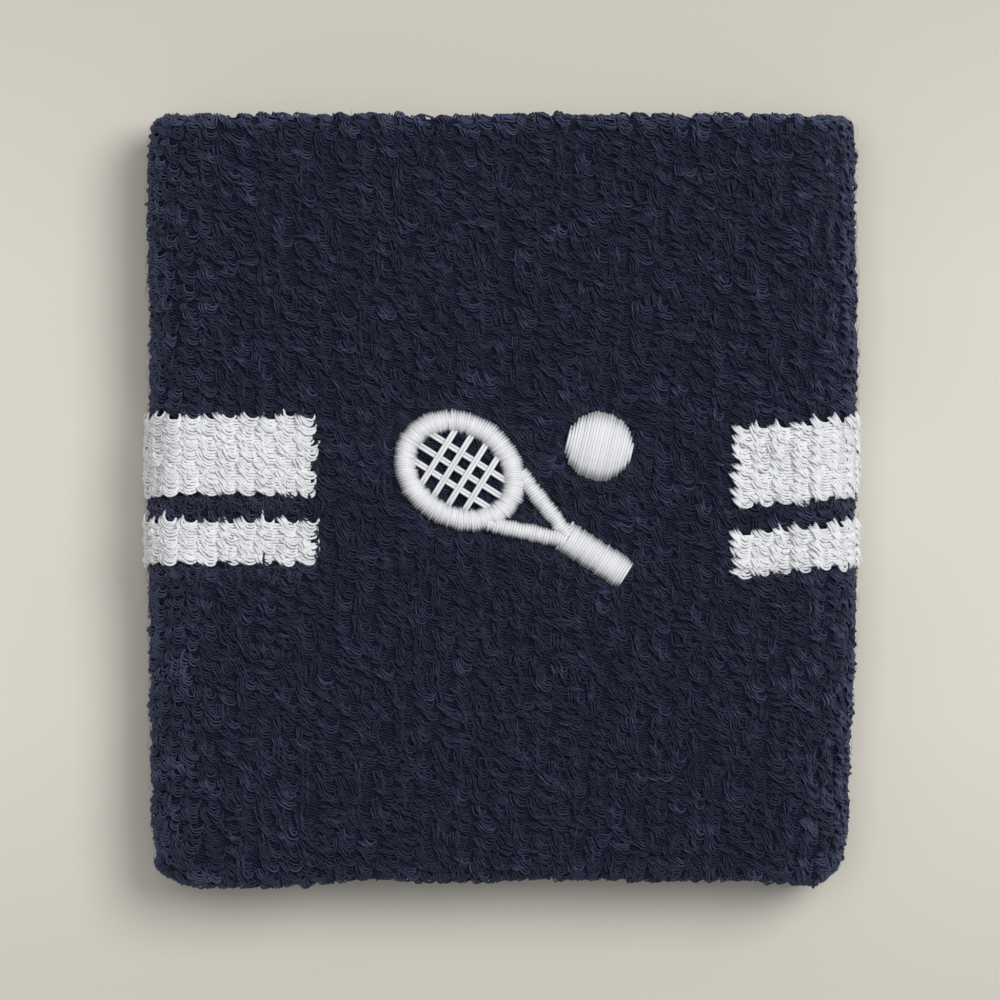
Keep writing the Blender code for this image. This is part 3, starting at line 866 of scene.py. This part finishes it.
def make_all_fuzz():
    """Loose navy fibres, most of them on the folds, and fine ones under the stripes' lower edges."""
    pieces = []
    count = PILE_FIBRES
    side = random.random(count) < 0.6
    u = np.where(side, random.choice([-1.0, 1.0], count) * random.normal(FOLD, 4.5, count), 0.0)
    u = np.where(side, u, random.uniform(-HALF_FLAT, HALF_FLAT, count))
    v = random.uniform(-STRAIGHT - 2.5, STRAIGHT + 2.5, count)
    length = random.uniform(0.8, 2.2, count)
    height = random.uniform(0.55, 0.95, count)
    turn = random.uniform(0.0, math.tau, count)
    near, _ = emblem_distance(u, v)
    clear = (near > 1.0) | (np.abs(u) > HALF_FLAT)
    kept = [part[clear] for part in (u, v, height, length, turn)]
    pieces.append(make_fuzz("pile_fuzz", *kept, NAVY, 0.014))
    count = STRIPE_FIBRES
    low = np.where(random.random(count) < 0.5, WIDE_TOP - 8.5, NARROW_TOP - 4.6)
    right = random.random(count) < 0.35
    u = np.where(right, random.uniform(25.0, 37.0, count), random.uniform(-38.0, -20.5, count))
    v = low + random.uniform(-0.5, 0.3, count)
    long = random.random(count) < 0.08
    turn = random.normal(-math.pi / 2, np.where(long, 0.25, 0.8), count)
    length = np.where(long, 2.4, random.uniform(0.6, 1.5, count))
    pieces.append(make_fuzz("stripe_fuzz", u, v, np.full(count, 0.95), length, turn, HAZE, 0.012))
    return pieces


# The satin stitches


def stitches(start, end, low, high, steps=7):
    """Threads from start to end places on the front, domed between them."""
    share = np.linspace(0.0, 1.0, steps)[:, None]
    spots = start[:, None] + (end - start)[:, None] * share
    crest = 1.0 - np.abs(2.0 * share[:, 0] - 1.0) ** 3
    level = low + (np.asarray(high).reshape(-1, 1) - low) * crest
    return front(spots[..., 0], spots[..., 1], level)


def satin_field(start, end, high):
    """A field of stitches over its underlay, with uneven ends."""
    run = unit(end - start)
    start = start - run * random.normal(0.0, 0.06, (len(start), 1))
    end = end + run * random.normal(0.0, 0.06, (len(start), 1))
    high = high + random.normal(0.0, 0.025, len(start))
    lower = stitches(start + run * 0.15, end - run * 0.15, SATIN_FOOT, high - UNDERLAY_DROP)
    return np.concatenate([stitches(start, end, SATIN_FOOT, high), lower])


def with_ends(values, crests):
    """A field's values and crests, with two lower threads at each end that close it."""
    values = np.concatenate([values[:1], values[:1], values, values[-1:], values[-1:]])
    return values, np.concatenate([END_CRESTS, crests, END_CRESTS[::-1]])


def satin_piece(name, node, fields):
    paths = np.concatenate(fields)
    tone = np.clip(random.normal(0.5, 0.2, len(paths)), 0.0, 1.0)
    piece = tube_piece(name, [(paths, THREAD, 6, tone)], SATIN)
    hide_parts(node)
    return piece


def make_hoop():
    count = round(math.pi * (HOOP[0] + HOOP[1]) / STITCH_PITCH)
    turn = np.arange(count) / count * math.tau
    outer_end = racket(HOOP[0] * np.cos(turn), HOOP[1] * np.sin(turn))
    inner = (HOOP[0] - HOOP_STROKE, HOOP[1] - HOOP_STROKE)
    inner_end = racket(inner[0] * np.cos(turn), inner[1] * np.sin(turn))
    return satin_piece("satin_hoop", "emblem_hoop", [satin_field(inner_end, outer_end, SATIN_CREST)])


def make_throat():
    fields = []
    foot = np.array([THROAT_FOOT + 0.6, 0.25])
    top = np.array(THROAT_TOP)
    run = foot - top
    length = np.linalg.norm(run)
    side = np.array([-run[1], run[0]]) / length * THROAT_HALF
    for mirror in (1, -1):
        share = np.arange(0.0, 1.0, STITCH_PITCH / length)[:, None]
        middle = top + run * share
        start, end = middle - side, middle + side
        flip = np.array([1.0, mirror])
        fields.append(satin_field(racket(*(start * flip).T), racket(*(end * flip).T), THROAT_CREST))
    return satin_piece("satin_throat", "emblem_throat", fields)


def make_grip():
    top, butt, half = GRIP
    along = np.arange(top, butt, STITCH_PITCH)
    gap = np.minimum(along - top, butt - along)
    along, crests = with_ends(along, SATIN_CREST - GRIP_SINK[0] * hump(gap, 0.0, GRIP_SINK[1]))
    reach = half - 0.35 * np.maximum(0.0, (along - butt + 0.6) / 0.6)
    field = satin_field(racket(along, -reach), racket(along, reach), crests)
    return satin_piece("satin_grip", "emblem_grip", [field])


def make_ball():
    offset = np.arange(-BALL_RADIUS + STITCH_PITCH / 2, BALL_RADIUS, STITCH_PITCH)
    dome = BALL_CREST[0] + BALL_CREST[1] * np.sqrt(1.0 - (offset / BALL_RADIUS) ** 2)
    offset, crests = with_ends(offset, dome)
    reach = np.sqrt(BALL_RADIUS**2 - offset**2)
    axis = np.array([math.cos(TILT + 1.9), math.sin(TILT + 1.9)])
    side = np.array([-axis[1], axis[0]])
    middle = BALL + side * offset[:, None]
    field = satin_field(middle - axis * reach[:, None], middle + axis * reach[:, None], crests)
    return satin_piece("satin_ball", "emblem_ball", [field])


def make_strings():
    """Rows of running stitches, each of two threads side by side."""
    reach = [side - HOOP_STROKE + 0.3 for side in HOOP]
    runs = []
    for across in LONG_STRINGS:
        half = reach[0] * math.sqrt(1.0 - (across / reach[1]) ** 2)
        runs.append((np.array([-half, across]), np.array([half, across]), STRING_CRESTS[0]))
    for along in CROSS_STRINGS:
        half = reach[1] * math.sqrt(1.0 - (along / reach[0]) ** 2)
        runs.append((np.array([along, -half]), np.array([along, half]), STRING_CRESTS[1]))
    paths = []
    for start, end, high in runs:
        run = (end - start) / np.linalg.norm(end - start)
        side = np.array([-run[1], run[0]])
        for offset in (-0.16, 0.16):
            ends = racket(*np.stack([start + side * offset, end + side * offset]).T)
            paths.append(stitches(ends[:1], ends[1:], STRING_FOOT, high, 10))
    return satin_piece("satin_strings", "emblem_strings", paths)


# The stage


def make_stage():
    """A pale floor, with painted shade that makes it a little darker towards the top and the bottom of the
    view, as a lamp's falloff would.
    """
    mesh = bpy.data.meshes.new("floor")
    half = 3.0
    corners = [(-half, -half, 0), (half, -half, 0), (half, half, 0), (-half, half, 0)]
    mesh.from_pydata(corners, [], [(0, 1, 2, 3)])
    made, nodes, links, shader = new_material("floor")
    noise = coordinates(nodes, links, 6.0)
    mottled = [(0.3, (0.700, 0.672, 0.600)), (0.7, (0.712, 0.684, 0.612))]
    pale = ramp(nodes, links, noise.outputs["Fac"], mottled)
    place_node = nodes.new("ShaderNodeTexCoord")
    parts = nodes.new("ShaderNodeSeparateXYZ")
    links.new(place_node.outputs["Object"], parts.inputs["Vector"])
    distance = nodes.new("ShaderNodeMath")
    distance.operation = "ABSOLUTE"
    links.new(parts.outputs["Y"], distance.inputs[0])
    scaled = nodes.new("ShaderNodeMath")
    scaled.operation = "MULTIPLY"
    scaled.inputs[1].default_value = 10.0
    links.new(distance.outputs["Value"], scaled.inputs[0])
    # Painted shade of the lamps' falloff, by tenths of a metre from the middle of the view
    painted_falloff_stops = [(0.22, (0.95, 0.95, 0.95)), (0.37, (0.885, 0.885, 0.885)), (0.5, (0.83, 0.83, 0.825))]
    painted_falloff = ramp(nodes, links, scaled.outputs["Value"], painted_falloff_stops)
    mix = nodes.new("ShaderNodeMix")
    mix.data_type = "RGBA"
    mix.blend_type = "MULTIPLY"
    mix.inputs["Factor"].default_value = 1.0
    links.new(pale, mix.inputs[6])
    links.new(painted_falloff, mix.inputs[7])
    links.new(mix.outputs[2], shader.inputs["Base Color"])
    shader.inputs["Roughness"].default_value = 0.9
    shader.inputs["Specular IOR Level"].default_value = 0.1
    mesh.materials.append(made)
    floor = bpy.data.objects.new("floor", mesh)
    bpy.context.scene.collection.objects.link(floor)


def add_light(name, position, size, power):
    """A round soft light that points at the band."""
    data = bpy.data.lights.new(name, "AREA")
    data.shape = "DISK"
    data.size = size
    data.energy = power
    light = bpy.data.objects.new(name, data)
    light.location = position
    light.rotation_euler = (-Vector(position)).to_track_quat("-Z", "Y").to_euler()
    bpy.context.scene.collection.objects.link(light)


def make_lights():
    world = bpy.data.worlds.new("studio")
    world.use_nodes = True
    world.node_tree.nodes["Background"].inputs["Color"].default_value = (1.0, 0.995, 0.985, 1.0)
    world.node_tree.nodes["Background"].inputs["Strength"].default_value = 0.30
    bpy.context.scene.world = world
    add_light("key", (0.56, 0.34, 1.16), 0.7, 11.2)
    add_light("overhead", (-0.14, 0.11, 1.2), 0.7, 3.8)


def make_camera():
    data = bpy.data.cameras.new("camera")
    distance = 0.80
    view_width = 0.102
    data.sensor_width = 36.0
    data.lens = data.sensor_width * distance / view_width
    data.clip_start = 0.01
    data.clip_end = 20.0
    camera = bpy.data.objects.new("camera", data)
    aside = (-0.00025, -0.0001)  # of the view's middle from the band's
    camera.location = (*aside, OUTER_RADIUS * MM + distance)
    bpy.context.scene.collection.objects.link(camera)
    bpy.context.scene.camera = camera
    bpy.context.scene.view_settings.view_transform = "Standard"


def main():
    make_camera()
    make_stage()
    make_lights()
    outer_ground = ground_piece("outer_ground", outer, WALL_END, 300, 150, GROUND_THICK, NAVY_GROUND)
    lining_thick = INNER_TERRY - LINING_PILE
    inner_ground = ground_piece("inner_ground", lining, LINING_END, 240, 60, lining_thick, NAVY_GROUND)
    pile = make_outer_pile()
    lining_pile = make_lining_pile()
    fuzz = make_all_fuzz()
    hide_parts("outer_sleeve")
    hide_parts("inner_sleeve")
    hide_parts("wide_stripe")
    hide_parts("narrow_stripe")
    for make_field in (make_hoop, make_throat, make_grip, make_ball, make_strings):
        make_field()
    for node, look in CARRIED_OVER.items():
        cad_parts[node].data.materials[0] = look


main()
